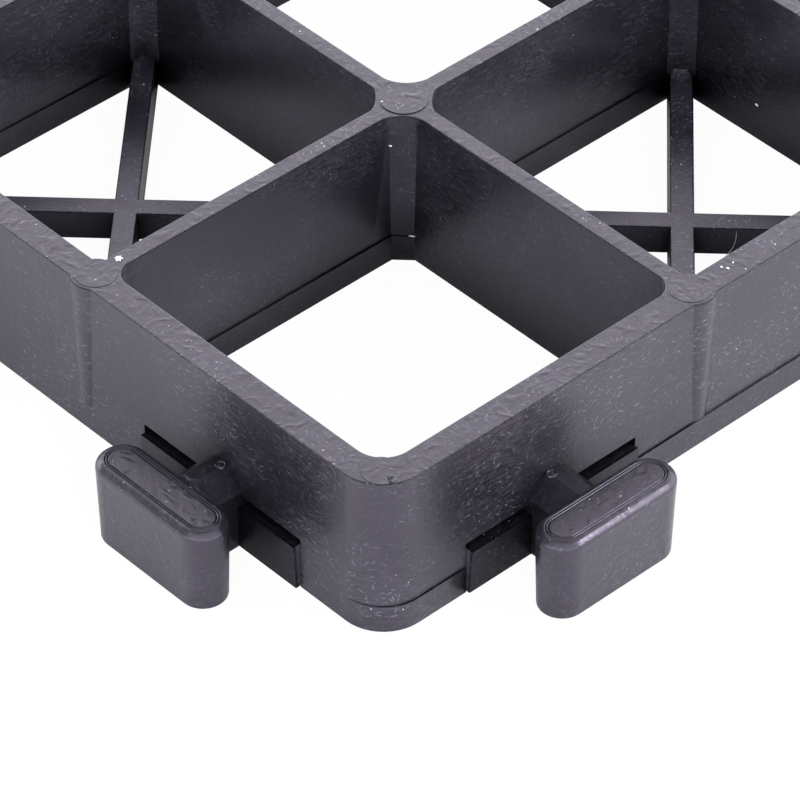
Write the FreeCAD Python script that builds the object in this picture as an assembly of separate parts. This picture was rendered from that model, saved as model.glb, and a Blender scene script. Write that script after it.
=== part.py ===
import FreeCAD, Part
import math
import os

# Grass paver grid: a square panel of open and barred cells, moulded in one piece.
# Millimetres, +Z up. The origin is the middle of the part's footprint on the ground, lugs included.
# The lugs point to -X and -Y.

# Cells and walls
pitch = 100.0
cells_per_side = 5
wall_height = 46.0
inner_wall_top = 4.7
outer_wall_top = 7.9
cell_draft_degrees = 0.6
panel_corner_radius = 8.0
outer_corner_radius = 12.0

# The two halves of the mould meet at the parting height, the lower half a little off towards -Y.
parting_height = 7.8
parting_shift = 0.4

# Round columns at the wall crossings. Those in the outer walls stand further out, and taper downwards.
column_radius = 6.35
edge_column_top_radius = 5.95
edge_column_foot_radius = 4.2
edge_column_shift = 1.0

# Corners of the open cells: an upright flat, that far from the middle of the crossing, and a round mouth,
# which fades into the flat below it and runs a bite into the walls
corner_flat = 6.85
edge_corner_flat = 5.6
mouth_radius = 9.0
edge_mouth_radius = 6.0
mouth_fade = 7.0
mouth_bite = 0.1

# Crossed bars in every second cell
bar_top_width = 6.0
bar_bottom_width = 7.0
bar_height = 8.0
bar_lift = 1.7

# T-shaped lugs: a head on a neck, which rises from a spacer pad on the wall
lug_head_length = 41.4
lug_head_thickness = 13.4
lug_head_height = 24.0
lug_head_draft_degrees = 1.6
lug_head_top_chamfer = 1.5
neck_width = 15.0
neck_height = 22.0
neck_chamfer = 5.5
pad_length = 53.0
pad_height = 12.4
pad_proud = 0.8
pad_end_slope = 0.8
groove_width = 2.7
groove_depth = 2.4
groove_end_gap = 1.6
groove_overrun = 1.4

# Play of a neighbour's wall between the pad and the head, and of the neck in its slot
head_clearance = 2.0
slot_clearance = 0.8

# Worked out from the sizes above
half_span = cells_per_side * pitch / 2
half_inner_wall = inner_wall_top / 2
outer_reach = outer_wall_top - half_inner_wall
half_outer = half_span + outer_reach
cell_draft = math.tan(math.radians(cell_draft_degrees))
lug_head_draft = math.tan(math.radians(lug_head_draft_degrees))
half_wall_at_parting = half_inner_wall + cell_draft * (wall_height - parting_height)
outer_wall_bottom = outer_reach + half_wall_at_parting + parting_shift
head_back = pad_proud + outer_wall_bottom + head_clearance
reach_of_lugs = outer_reach + head_back + lug_head_thickness
reach_of_columns = max(outer_reach, edge_column_top_radius + edge_column_shift)
centring = (reach_of_lugs - reach_of_columns) / 2
overcut = 1.0


def node_line(index):
    """Coordinate of a wall line, counted from the lowest."""
    return index * pitch - half_span


def is_open(column, row):
    """Open and barred cells alternate like a chessboard, with open cells at the corners."""
    return (column + row) % 2 == 0


def lug_cells():
    """Cells along one side that carry a lug or a slot."""
    return range(0, cells_per_side, 2)


def rounded_rectangle(low, high, radii, z):
    """Closed wire with its own radius at each corner, counted anticlockwise from the lowest corner."""
    corners = [(low[0], low[1]), (high[0], low[1]), (high[0], high[1]), (low[0], high[1])]
    entries = [(0, 1), (-1, 0), (0, -1), (1, 0)]
    exits = [(1, 0), (0, 1), (-1, 0), (0, -1)]
    arcs = []
    for (x, y), radius, entry, leave in zip(corners, radii, entries, exits):
        start = FreeCAD.Vector(x + entry[0] * radius, y + entry[1] * radius, z)
        end = FreeCAD.Vector(x + leave[0] * radius, y + leave[1] * radius, z)
        bulge = radius * (1 - math.sqrt(0.5))
        middle = FreeCAD.Vector(x + (entry[0] + leave[0]) * bulge, y + (entry[1] + leave[1]) * bulge, z)
        arcs.append((start, middle, end))
    edges = []
    for index, (start, middle, end) in enumerate(arcs):
        edges.append(Part.Arc(start, middle, end).toShape())
        edges.append(Part.LineSegment(end, arcs[(index + 1) % 4][0]).toShape())
    return Part.Wire(edges)


def prism(wire, length):
    """Straight solid on a flat wire, upwards."""
    return Part.Face(wire).extrude(FreeCAD.Vector(0, 0, length))


def ring(low, high, z):
    """Corners of a level rectangle, anticlockwise from the lowest."""
    corners = [(low[0], low[1]), (high[0], low[1]), (high[0], high[1]), (low[0], high[1])]
    return [FreeCAD.Vector(x, y, z) for x, y in corners]


def frustum(bottom, top, corner_radii):
    """Solid with flat drafted sides between two rings. corner_radii maps corner numbers to radii."""
    loops = [bottom, top]
    for index in range(4):
        after = (index + 1) % 4
        loops.append([bottom[index], bottom[after], top[after], top[index]])
    faces = [Part.Face(Part.makePolygon(loop + loop[:1])) for loop in loops]
    solid = Part.Solid(Part.Shell(faces))
    for corner, radius in corner_radii.items():
        middle = (bottom[corner] + top[corner]) / 2
        edges = [edge for edge in solid.Edges if edge.CenterOfMass.isEqual(middle, 1e-6)]
        solid = solid.makeFillet(radius, edges)
    return solid


def outer_block():
    """The panel before its cells are cut, in its lower and upper halves."""
    radii = [outer_corner_radius] * 4
    low, high = (-half_outer, -half_outer), (half_outer, half_outer)
    lower = prism(rounded_rectangle(low, high, radii, 0), parting_height)
    lower.translate(FreeCAD.Vector(0, -parting_shift, 0))
    upper = prism(rounded_rectangle(low, high, radii, parting_height), wall_height - parting_height)
    return lower.fuse(upper)


def cell_corner_radii(column, row):
    """The corner of a cell that faces a corner of the panel is rounded over its whole height."""
    last = cells_per_side - 1
    panel_corners = [(0, 0), (last, 0), (last, last), (0, last)]
    return {index: panel_corner_radius for index, cell in enumerate(panel_corners) if cell == (column, row)}


def cell_space(column, row):
    """The hollow of one cell: drafted above the parting plane, straight below it."""
    radii = cell_corner_radii(column, row)

    def extent(half_wall):
        low = (node_line(column) + half_wall, node_line(row) + half_wall)
        high = (node_line(column + 1) - half_wall, node_line(row + 1) - half_wall)
        return low, high

    mouth = extent(half_inner_wall - cell_draft * overcut)
    throat = extent(half_wall_at_parting)
    upper = frustum(ring(*throat, parting_height), ring(*mouth, wall_height + overcut), radii)
    lower = frustum(ring(*throat, -overcut), ring(*throat, parting_height), radii)
    lower.translate(FreeCAD.Vector(0, -parting_shift, 0))
    return [upper, lower]


def sides_met(column, row):
    """How many sides of the panel a crossing lies on."""
    return (column in (0, cells_per_side)) + (row in (0, cells_per_side))


def outward(index):
    """Direction out of the panel at a wall line: -1 on its low side, 1 on its high side, else 0."""
    return (index == cells_per_side) - (index == 0)


def node_columns():
    """A column at each crossing, apart from the corners of the panel."""
    straight = Part.makeCylinder(column_radius, wall_height)
    tapered = Part.makeCone(edge_column_foot_radius, edge_column_top_radius, wall_height)
    solids = []
    for column in range(cells_per_side + 1):
        for row in range(cells_per_side + 1):
            sides = sides_met(column, row)
            if sides == 2:
                continue
            solid = (tapered if sides else straight).copy()
            x = node_line(column) + edge_column_shift * outward(column)
            y = node_line(row) + edge_column_shift * outward(row)
            solid.translate(FreeCAD.Vector(x, y, 0))
            solids.append(solid)
    return solids


def corner_filling(flat, radius):
    """Filling of an open cell's corner, with the crossing at the origin and the cell towards +X and +Y.

    An upright flat cuts the corner off, in an upper and a lower half. At the mouth a rounding stands
    before it, from wall to wall, and fades out down the flat, as far as the cell's walls reach beside it.
    """
    leg = flat * math.sqrt(2)
    points = [FreeCAD.Vector(x, y, 0) for x, y in ((0, 0), (leg, 0), (0, leg))]
    lower = prism(Part.makePolygon(points + points[:1]), parting_height)
    web = prism(Part.makePolygon(points + points[:1]), wall_height - parting_height)
    web.translate(FreeCAD.Vector(0, 0, parting_height))
    centre = half_inner_wall + radius - mouth_bite
    faded_radius = math.hypot(radius, centre - (leg - half_inner_wall))
    foot = FreeCAD.Vector(centre, centre, wall_height - mouth_fade)
    rounding = Part.makeBox(centre, centre, mouth_fade, FreeCAD.Vector(0, 0, foot.z))
    return web.fuse(rounding.cut(Part.makeCone(faded_radius, radius, mouth_fade, foot))), lower


def open_corners():
    """The fillings at the corners of the open cells, apart from the corners of the panel."""
    at_crossing = corner_filling(corner_flat, mouth_radius)
    at_edge = corner_filling(edge_corner_flat, edge_mouth_radius)
    solids = []
    for column in range(cells_per_side):
        for row in range(cells_per_side):
            if not is_open(column, row):
                continue
            for turn, (over, up) in enumerate(((0, 0), (1, 0), (1, 1), (0, 1))):
                sides = sides_met(column + over, row + up)
                if sides == 2:
                    continue
                x, y = node_line(column + over), node_line(row + up)
                for half, shift in zip(at_edge if sides else at_crossing, (0, parting_shift)):
                    filling = half.copy()
                    filling.rotate(FreeCAD.Vector(0, 0, 0), FreeCAD.Vector(0, 0, 1), 90 * turn)
                    filling.translate(FreeCAD.Vector(x, y - shift, 0))
                    solids.append(filling)
    return solids


def crossed_bars(column, row):
    """Two bars from node to node across the bottom of one cell, a little wider at the foot."""
    middle = FreeCAD.Vector(node_line(column) + pitch / 2, node_line(row) + pitch / 2, bar_lift)
    length = pitch * math.sqrt(2)
    foot, crown = bar_bottom_width / 2, bar_top_width / 2
    outline = [(-foot, 0), (foot, 0), (crown, bar_height), (-crown, bar_height)]
    points = [FreeCAD.Vector(-length / 2, y, z) for y, z in outline]
    section = Part.Face(Part.makePolygon(points + points[:1]))
    bars = []
    for turn in (45, 135):
        bar = section.extrude(FreeCAD.Vector(length, 0, 0))
        bar.rotate(FreeCAD.Vector(0, 0, 0), FreeCAD.Vector(0, 0, 1), turn)
        bar.translate(middle)
        bars.append(bar)
    return bars


def lug_head():
    """The bar of the T: round at its ends, narrower at the bottom, with its top rim chamfered.

    One side and one end are made from half the section. Half a turn about the middle gives the rest.
    """
    radius = lug_head_thickness / 2
    run = lug_head_length - lug_head_thickness
    foot = radius - lug_head_draft * lug_head_height
    rim = lug_head_top_chamfer
    top = lug_head_height
    outline = [(0, 0), (foot, 0), (radius, top - rim), (radius - rim, top), (0, top)]
    points = [FreeCAD.Vector(0, y, z) for y, z in outline]
    section = Part.Face(Part.makePolygon(points + points[:1]))
    upright = FreeCAD.Vector(0, 0, 1)
    end = section.revolve(FreeCAD.Vector(0, 0, 0), upright, 180)
    half = section.extrude(FreeCAD.Vector(run, 0, 0)).fuse(end)
    other = half.copy()
    other.rotate(FreeCAD.Vector(run / 2, 0, 0), upright, 180)
    head = half.fuse(other).removeSplitter()
    head.translate(FreeCAD.Vector(-run / 2, -head_back - radius, 0))
    return head


def neck_section(clearance):
    """Outline of the neck against the wall, in X and Z, with its top corners cut off."""
    half, top = neck_width / 2 + clearance, neck_height + clearance
    shoulder = top - neck_chamfer
    crown = half - neck_chamfer
    outline = [(-half, 0), (half, 0), (half, shoulder), (crown, top), (-crown, top), (-half, shoulder)]
    points = [FreeCAD.Vector(x, 0, z) for x, z in outline]
    return Part.Face(Part.makePolygon(points + points[:1]))


def spacer_pad():
    """Plate on the wall behind the lug, with ends that slope out towards the bottom."""
    foot, crown = pad_length / 2, pad_length / 2 - pad_end_slope
    outline = [(-foot, 0), (foot, 0), (crown, pad_height), (-crown, pad_height)]
    points = [FreeCAD.Vector(x, groove_depth + half_inner_wall, z) for x, z in outline]
    face = Part.Face(Part.makePolygon(points + points[:1]))
    return face.extrude(FreeCAD.Vector(0, -(groove_depth + half_inner_wall + pad_proud + parting_shift), 0))


def lug():
    """A whole lug on a wall whose outer face is the XZ plane. It points to -Y."""
    root = half_inner_wall
    neck = neck_section(0)
    neck.translate(FreeCAD.Vector(0, root, 0))
    neck = neck.extrude(FreeCAD.Vector(0, -(root + head_back + lug_head_thickness / 2), 0))
    return lug_head().fuse([neck, spacer_pad()])


def lug_groove():
    """The narrow slit over the spacer pad, a little past its high end, and down its low end."""
    start = -pad_length / 2 - groove_end_gap
    front = -parting_shift - overcut
    depth = groove_depth - front
    length = groove_end_gap + pad_length + groove_overrun
    over = Part.makeBox(length, depth, groove_width, FreeCAD.Vector(start, front, pad_height))
    width = groove_end_gap + pad_end_slope
    beside = Part.makeBox(width, depth, pad_height + overcut, FreeCAD.Vector(start, front, -overcut))
    return over.fuse(beside)


def slot():
    """The space in a wall that a neighbour's neck drops into, open at the bottom."""
    low = neck_section(slot_clearance)
    through = outer_wall_bottom + 2 * overcut
    opening = low.extrude(FreeCAD.Vector(0, through, 0))
    opening.translate(FreeCAD.Vector(0, -outer_wall_bottom - overcut, 0))
    foot = Part.makeBox(neck_width + 2 * slot_clearance, through, 2 * overcut)
    foot.translate(FreeCAD.Vector(-neck_width / 2 - slot_clearance, -outer_wall_bottom - overcut, -overcut))
    return opening.fuse(foot)


def along_sides(shape, sign):
    """Copies of a shape made for the XZ plane, at each lug cell of the two low or the two high sides.

    Those on the X sides are mirror images, with the low and high ends of the shape as they were.
    """
    copies = []
    for cell in lug_cells():
        middle = node_line(cell) + pitch / 2
        on_y = shape.copy()
        on_y.translate(FreeCAD.Vector(middle, sign * half_outer, 0))
        on_x = shape.mirror(FreeCAD.Vector(0, 0, 0), FreeCAD.Vector(1, -1, 0))
        on_x.translate(FreeCAD.Vector(sign * half_outer, middle, 0))
        copies.extend([on_y, on_x])
    return copies


def paver_grid():
    """The whole panel as one solid."""
    cells = [(column, row) for column in range(cells_per_side) for row in range(cells_per_side)]
    hollows = [space for cell in cells for space in cell_space(*cell)]
    barred = [bar for cell in cells if not is_open(*cell) for bar in crossed_bars(*cell)]
    walls = outer_block().cut(hollows)
    walls = walls.cut(along_sides(lug_groove(), -1))
    grid = walls.fuse(node_columns() + open_corners() + barred + along_sides(lug(), -1))
    return grid.cut(along_sides(slot(), 1)).removeSplitter()


os.makedirs("parts", exist_ok=True)
shape = paver_grid()
shape.translate(FreeCAD.Vector(centring, centring, 0))
print("valid", shape.isValid(), "solids", len(shape.Solids), "volume", round(shape.Volume), "mm3")
shape.exportStep("parts/paver_grid.step")
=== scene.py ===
"""Looks of a moulded grass paver grid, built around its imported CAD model.

Sizes are in millimetres in the fields of the classes. Meshes are in metres, in the frame of the CAD model.
"""

import logging
import math
import random
from dataclasses import dataclass
from enum import Enum

import bmesh
import bpy
from mathutils import Matrix, Vector

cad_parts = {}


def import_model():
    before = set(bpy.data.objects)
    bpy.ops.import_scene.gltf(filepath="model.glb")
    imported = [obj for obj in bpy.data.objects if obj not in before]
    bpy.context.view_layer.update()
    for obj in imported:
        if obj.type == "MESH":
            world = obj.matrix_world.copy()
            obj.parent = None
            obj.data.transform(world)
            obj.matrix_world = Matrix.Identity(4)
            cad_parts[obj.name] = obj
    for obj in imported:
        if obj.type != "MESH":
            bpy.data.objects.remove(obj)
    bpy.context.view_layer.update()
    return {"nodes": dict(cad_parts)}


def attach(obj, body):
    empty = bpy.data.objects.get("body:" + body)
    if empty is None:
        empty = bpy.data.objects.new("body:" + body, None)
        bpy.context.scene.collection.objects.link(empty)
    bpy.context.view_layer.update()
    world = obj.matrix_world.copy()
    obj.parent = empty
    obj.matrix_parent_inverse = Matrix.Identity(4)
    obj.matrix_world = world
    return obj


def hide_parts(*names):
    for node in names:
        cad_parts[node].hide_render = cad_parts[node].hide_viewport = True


MM = 0.001
BODY = "root"
GRID_NODE = "paver_grid"
WHITE = "#ffffff"
# A face is level where the Z of its normal is above the first, and a wall where it is below the second.
LEVEL = 0.99
STEEP = 0.3

log = logging.getLogger("paver_grid")


class Axis(Enum):
    """The side of the panel that a lug or a wall belongs to."""

    X = 0
    Y = 1


def linear(colour: str) -> tuple[float, float, float, float]:
    """Turn an sRGB hex colour into linear RGBA.

    Args:
        colour: six hex digits after a hash sign.

    Returns:
        Linear red, green, blue and an alpha of 1.
    """
    channels = [int(colour[i : i + 2], 16) / 255 for i in (1, 3, 5)]
    return (*[c / 12.92 if c <= 0.04045 else ((c + 0.055) / 1.055) ** 2.4 for c in channels], 1.0)


def add_node(
    tree: bpy.types.NodeTree, kind: str, inputs: dict[int | str, object] | None = None, **settings: object
) -> bpy.types.Node:
    """Add one node with its settings, values and links.

    Args:
        tree: the node tree to add to.
        kind: Blender's name of the node type.
        inputs: socket name or number to a value, or to the output socket that feeds it.
        settings: attributes of the node itself.

    Returns:
        The new node.
    """
    node = tree.nodes.new(kind)
    for name, value in settings.items():
        setattr(node, name, value)
    for key, value in (inputs or {}).items():
        if isinstance(value, bpy.types.NodeSocket):
            tree.links.new(value, node.inputs[key])
        else:
            node.inputs[key].default_value = value
    return node


def per_mm(size: float) -> float:
    """Texture scale, in Object coordinates, of a pattern whose cells are that many millimetres wide."""
    return 1 / (size * MM)


def round_edges(
    bm: bmesh.types.BMesh, edges: list[bmesh.types.BMEdge], radius: float, segments: int
) -> None:
    """Bevel edges round.

    Args:
        bm: the mesh.
        edges: the edges to round.
        radius: how far back from the edge the rounding starts, in mm.
        segments: facets across it.
    """
    bmesh.ops.bevel(
        bm,
        geom=edges,
        offset=radius * MM,
        offset_type="OFFSET",
        affect="EDGES",
        segments=segments,
        profile=0.5,
        material=-1,
        clamp_overlap=False,
    )


def finish_mesh(
    bm: bmesh.types.BMesh, name: str, material: bpy.types.Material, smooth: float
) -> bpy.types.Object:
    """Make an object of a finished bmesh and put it on the part's only body.

    Args:
        bm: the mesh, in metres and in place. It is freed.
        name: the piece's name.
        material: its finish.
        smooth: edges flatter than this many degrees are shaded smooth.

    Returns:
        The new object, at the origin.
    """
    mesh = bpy.data.meshes.new(name)
    bm.to_mesh(mesh)
    bm.free()
    mesh.materials.clear()
    mesh.materials.append(material)
    mesh.shade_smooth()
    mesh.set_sharp_from_angle(angle=math.radians(smooth))
    piece = bpy.data.objects.new(name, mesh)
    bpy.context.scene.collection.objects.link(piece)
    flats = piece.modifiers.new("flats_stay_flat", "WEIGHTED_NORMAL")
    flats.keep_sharp = True
    flats.weight = 100
    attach(piece, BODY)
    return piece


@dataclass(frozen=True)
class Layout:
    """Where the crossings, cells and lugs lie, as the CAD source has them."""

    pitch: float = 100.0
    cells: int = 5
    centring: float = 11.75
    wall_top: float = 46.0
    outer_face: float = 5.55
    parting: float = 7.8
    bar_top: float = 9.7
    neck_top: float = 22.0
    lug_top: float = 24.0

    def line(self, index: int) -> float:
        """Coordinate of a wall line, counted from the lowest."""
        return (index - self.cells / 2) * self.pitch + self.centring

    def outward(self, index: int) -> int:
        """Direction out of the panel at a wall line, 0 inside it."""
        return (index == self.cells) - (index == 0)

    def crossings(self) -> list[tuple[int, int]]:
        """Numbers of all the wall lines that cross."""
        return [(i, j) for i in range(self.cells + 1) for j in range(self.cells + 1)]

    def lug_middles(self) -> list[float]:
        """Coordinates of the lugs along a side."""
        return [self.line(i) + self.pitch / 2 for i in range(0, self.cells, 2)]

    def low_face(self) -> float:
        """Coordinate of the outer faces that carry the lugs."""
        return self.line(0) - self.outer_face


@dataclass(frozen=True)
class RecycledPolyethylene:
    """Black recycled polyethylene, injection moulded.

    The eye gets a satin skin with flow streaks, fine scratches and pale dust, with painted shade in the
    nooks and a painted shadow line along the cut flash. Reaches are distances from the middle of the panel,
    square to its sides.
    """

    body: str = "#17151b"
    streak: str = "#2b2930"
    scratch: str = "#6a6772"
    scratch_cell: float = 2.1
    scratch_width: float = 0.23
    scratch_length: float = 1.0
    scratch_share: float = 0.65
    dust: str = "#b9b6bf"
    clay: str = "#8a716d"
    roughness: float = 0.31
    streak_roughness: float = 0.46
    shine: float = 0.5
    # The weaker reflection on the painted shadow line along the cut flash.
    flash_shadow_shine: float = 0.12
    bump_strength: float = 0.3
    bump_depth: float = 0.15
    ior: float = 1.6
    sheen_tint: tuple[float, float, float, float] = (0.84, 0.77, 1.0, 1.0)
    # Painted shadow line along the cut flash: its colour, and its heights and half widths.
    painted_flash_shadow: str = "#0c0b0e"
    flash_shadow_lines: tuple[tuple[float, float], ...] = ((46.0, 0.27), (9.57, 0.06))
    crease_height: float = 15.0
    lug_crease: float = 0.35
    spared_wear: float = 0.6
    # Painted shade: how far ambient occlusion looks, and the darkest share left outside and inside the
    # cells.
    painted_shade_reach: float = 12.0
    painted_shade_outside: float = 0.33
    painted_shade_inside: float = 0.2
    cell_reach: float = 249.0
    panel_reach: float = 257.2
    pad_reach: float = 256.5
    # Painted shade on the spacer pads: where they lie, their slack, their height, and the share of colour
    # left there.
    pad_slack: float = 0.45
    pad_height: float = 12.45
    pad_painted_shade: float = 0.5

    def material(self) -> bpy.types.Material:
        """Build the node material.

        Returns:
            The finished material.
        """
        material = bpy.data.materials.new("moulded_recycled_polyethylene")
        material.use_nodes = True
        tree = material.node_tree
        tree.nodes.clear()
        place = add_node(tree, "ShaderNodeTexCoord").outputs["Object"]
        facing = add_node(tree, "ShaderNodeNewGeometry").outputs["True Normal"]
        up = add_node(tree, "ShaderNodeSeparateXYZ", {0: facing}).outputs["Z"]
        level = add_node(
            tree, "ShaderNodeMapRange", {0: up, 1: 0.6, 2: 0.95}, interpolation_type="SMOOTHSTEP"
        ).outputs[0]

        patches = add_node(
            tree, "ShaderNodeTexNoise", {"Vector": place, "Scale": per_mm(24), "Detail": 2.0}
        ).outputs[0]
        # The moulded grain is finer than a pixel, so it is drawn 0.9 mm wide.
        grain = add_node(
            tree, "ShaderNodeTexNoise", {"Vector": place, "Scale": per_mm(0.9), "Detail": 2.0}
        ).outputs[0]
        reach = self.reach(tree, place)
        lugs = add_node(
            tree, "ShaderNodeMath", {0: reach, 1: self.panel_reach * MM}, operation="GREATER_THAN"
        ).outputs[0]
        blotched = add_node(tree, "ShaderNodeMath", {0: level, 1: lugs}, operation="MAXIMUM").outputs[0]
        streaks = self.streaks(tree, place, blotched, patches)
        strokes = self.scratches(tree, place, facing)
        inside = add_node(
            tree, "ShaderNodeMath", {0: reach, 1: self.cell_reach * MM}, operation="LESS_THAN"
        ).outputs[0]
        upright = add_node(tree, "ShaderNodeMath", {0: 1.0, 1: level}, operation="SUBTRACT").outputs[0]
        sheltered = add_node(
            tree, "ShaderNodeMath", {0: inside, 1: upright}, operation="MULTIPLY"
        ).outputs[0]
        spared = add_node(tree, "ShaderNodeMath", {0: lugs, 1: sheltered}, operation="MAXIMUM").outputs[0]
        worn = add_node(tree, "ShaderNodeMapRange", {0: spared, 3: 1.0, 4: self.spared_wear}).outputs[0]
        crowd = add_node(
            tree, "ShaderNodeMapRange", {0: patches, 1: 0.4, 2: 0.62, 3: 0.2, 4: 1.0}
        ).outputs[0]
        share = add_node(tree, "ShaderNodeMath", {0: worn, 1: crowd}, operation="MULTIPLY").outputs[0]
        scratches = add_node(
            tree, "ShaderNodeMath", {0: strokes, 1: share}, operation="MULTIPLY"
        ).outputs[0]
        specks, tint = self.specks(tree, place, level, patches)
        # Painted shadow line along the cut flash at the top edges of walls, marks and bars.
        rim = self.flash_shadow_line(tree, place, up, grain)

        skin = add_node(
            tree,
            "ShaderNodeMix",
            {0: streaks, 6: linear(self.body), 7: linear(self.streak)},
            data_type="RGBA",
        ).outputs[2]
        scored = add_node(
            tree, "ShaderNodeMix", {0: scratches, 6: skin, 7: linear(self.scratch)}, data_type="RGBA"
        ).outputs[2]
        dirt = add_node(
            tree, "ShaderNodeMix", {0: tint, 6: linear(self.dust), 7: linear(self.clay)}, data_type="RGBA"
        ).outputs[2]
        dusty = add_node(
            tree, "ShaderNodeMix", {0: specks, 6: scored, 7: dirt}, data_type="RGBA"
        ).outputs[2]
        flash_shadowed = add_node(
            tree, "ShaderNodeMix", {0: rim, 6: dusty, 7: linear(self.painted_flash_shadow)}, data_type="RGBA"
        ).outputs[2]
        # Painted shade in nooks, on the pads and at the feet of upright faces in the cells, on colour here
        # and on reflection below.
        painted_shade_factor = self.painted_shade_factor(tree, place, inside, sheltered, reach)
        colour = add_node(
            tree, "ShaderNodeVectorMath", {0: flash_shadowed, "Scale": painted_shade_factor}, operation="SCALE"
        ).outputs[0]

        gloss = add_node(
            tree, "ShaderNodeMapRange", {0: streaks, 3: self.roughness, 4: self.streak_roughness}
        ).outputs[0]
        matt = add_node(
            tree, "ShaderNodeMath", {0: gloss, 1: specks}, operation="ADD", use_clamp=True
        ).outputs[0]
        # Weaker reflection on the painted shadow line, then painted shade.
        glint = add_node(
            tree, "ShaderNodeMapRange", {0: rim, 3: self.shine, 4: self.flash_shadow_shine}
        ).outputs[0]
        shine = add_node(tree, "ShaderNodeMath", {0: glint, 1: painted_shade_factor}, operation="MULTIPLY").outputs[0]

        creases = self.creases(tree, place, level, lugs)
        drawn = add_node(tree, "ShaderNodeMath", {0: streaks, 1: worn}, operation="MULTIPLY").outputs[0]
        skewed = add_node(
            tree, "ShaderNodeMath", {0: drawn, 1: 0.6, 2: creases}, operation="MULTIPLY_ADD"
        ).outputs[0]
        rough = add_node(tree, "ShaderNodeMath", {0: grain, 1: skewed}, operation="ADD").outputs[0]
        ridges = add_node(tree, "ShaderNodeMath", {0: rough, 1: scratches}, operation="ADD").outputs[0]
        bump = add_node(
            tree,
            "ShaderNodeBump",
            {"Height": ridges, "Strength": self.bump_strength, "Distance": self.bump_depth * MM},
        ).outputs[0]

        shader = add_node(
            tree,
            "ShaderNodeBsdfPrincipled",
            {
                "Base Color": colour,
                "Roughness": matt,
                "Normal": bump,
                "IOR": self.ior,
                "Specular IOR Level": shine,
                "Specular Tint": self.sheen_tint,
            },
        )
        add_node(tree, "ShaderNodeOutputMaterial", {"Surface": shader.outputs[0]})
        return material

    def reach(self, tree: bpy.types.NodeTree, place: bpy.types.NodeSocket) -> bpy.types.NodeSocket:
        """Distance from the middle of the panel, square to its sides.

        Args:
            tree: the material's nodes.
            place: Object coordinates.

        Returns:
            The larger of the distances along X and Y.
        """
        middle = Layout().centring * MM
        across = add_node(
            tree, "ShaderNodeVectorMath", {0: place, 1: (middle, middle, 0.0)}, operation="SUBTRACT"
        ).outputs[0]
        spread = add_node(tree, "ShaderNodeVectorMath", {0: across}, operation="ABSOLUTE").outputs[0]
        parts = add_node(tree, "ShaderNodeSeparateXYZ", {0: spread}).outputs
        return add_node(
            tree, "ShaderNodeMath", {0: parts["X"], 1: parts["Y"]}, operation="MAXIMUM"
        ).outputs[0]

    def streaks(
        self,
        tree: bpy.types.NodeTree,
        place: bpy.types.NodeSocket,
        level: bpy.types.NodeSocket,
        patches: bpy.types.NodeSocket,
    ) -> bpy.types.NodeSocket:
        """Short level streaks along the walls, about 3 mm long and 0.7 mm high, and blotches elsewhere.

        Args:
            tree: the material's nodes.
            place: Object coordinates.
            level: 1 on level faces and lugs, 0 on walls.
            patches: wide noise, high where the streaks crowd.

        Returns:
            0 between the streaks, 1 on the palest.
        """
        stretched = add_node(
            tree, "ShaderNodeMapping", {"Vector": place, "Scale": (per_mm(3.2), per_mm(3.2), per_mm(0.7))}
        ).outputs[0]
        drawn = add_node(
            tree,
            "ShaderNodeTexNoise",
            {"Vector": stretched, "Scale": 1.0, "Detail": 2.0, "Roughness": 0.6, "Distortion": 0.5},
        ).outputs[0]
        blotches = add_node(
            tree,
            "ShaderNodeTexNoise",
            {"Vector": place, "Scale": per_mm(2.2), "Detail": 3.0, "Roughness": 0.65},
        ).outputs[0]
        mixed = add_node(tree, "ShaderNodeMix", {0: level, 2: drawn, 3: blotches}).outputs[0]
        total = add_node(tree, "ShaderNodeMath", {0: mixed, 1: patches}, operation="ADD").outputs[0]
        return add_node(tree, "ShaderNodeMapRange", {0: total, 1: 0.97, 2: 1.35}).outputs[0]

    def creases(
        self,
        tree: bpy.types.NodeTree,
        place: bpy.types.NodeSocket,
        level: bpy.types.NodeSocket,
        lugs: bpy.types.NodeSocket,
    ) -> bpy.types.NodeSocket:
        """Curved creases about 4 mm apart, left by cooling, clear on tops and faint elsewhere.

        Args:
            tree: the material's nodes.
            place: Object coordinates.
            level: 1 on level faces, 0 on walls.
            lugs: 1 on the lugs, 0 on the rest.

        Returns:
            Height of the creases, from 0 to about 1.
        """
        lines = add_node(
            tree,
            "ShaderNodeTexNoise",
            {"Vector": place, "Scale": per_mm(4), "Detail": 1.0, "Distortion": 0.8},
            noise_type="RIDGED_MULTIFRACTAL",
            normalize=True,
        ).outputs[0]
        height = add_node(tree, "ShaderNodeSeparateXYZ", {0: place}).outputs["Z"]
        high = add_node(
            tree, "ShaderNodeMath", {0: height, 1: self.crease_height * MM}, operation="GREATER_THAN"
        ).outputs[0]
        tops = add_node(tree, "ShaderNodeMath", {0: level, 1: high}, operation="MULTIPLY").outputs[0]
        sides = add_node(
            tree, "ShaderNodeMath", {0: lugs, 1: self.lug_crease}, operation="MULTIPLY"
        ).outputs[0]
        clear = add_node(tree, "ShaderNodeMath", {0: tops, 1: sides}, operation="ADD").outputs[0]
        share = add_node(tree, "ShaderNodeMapRange", {0: clear, 3: 0.8, 4: 5.0}, clamp=False).outputs[0]
        return add_node(tree, "ShaderNodeMath", {0: lines, 1: share}, operation="MULTIPLY").outputs[0]

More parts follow.
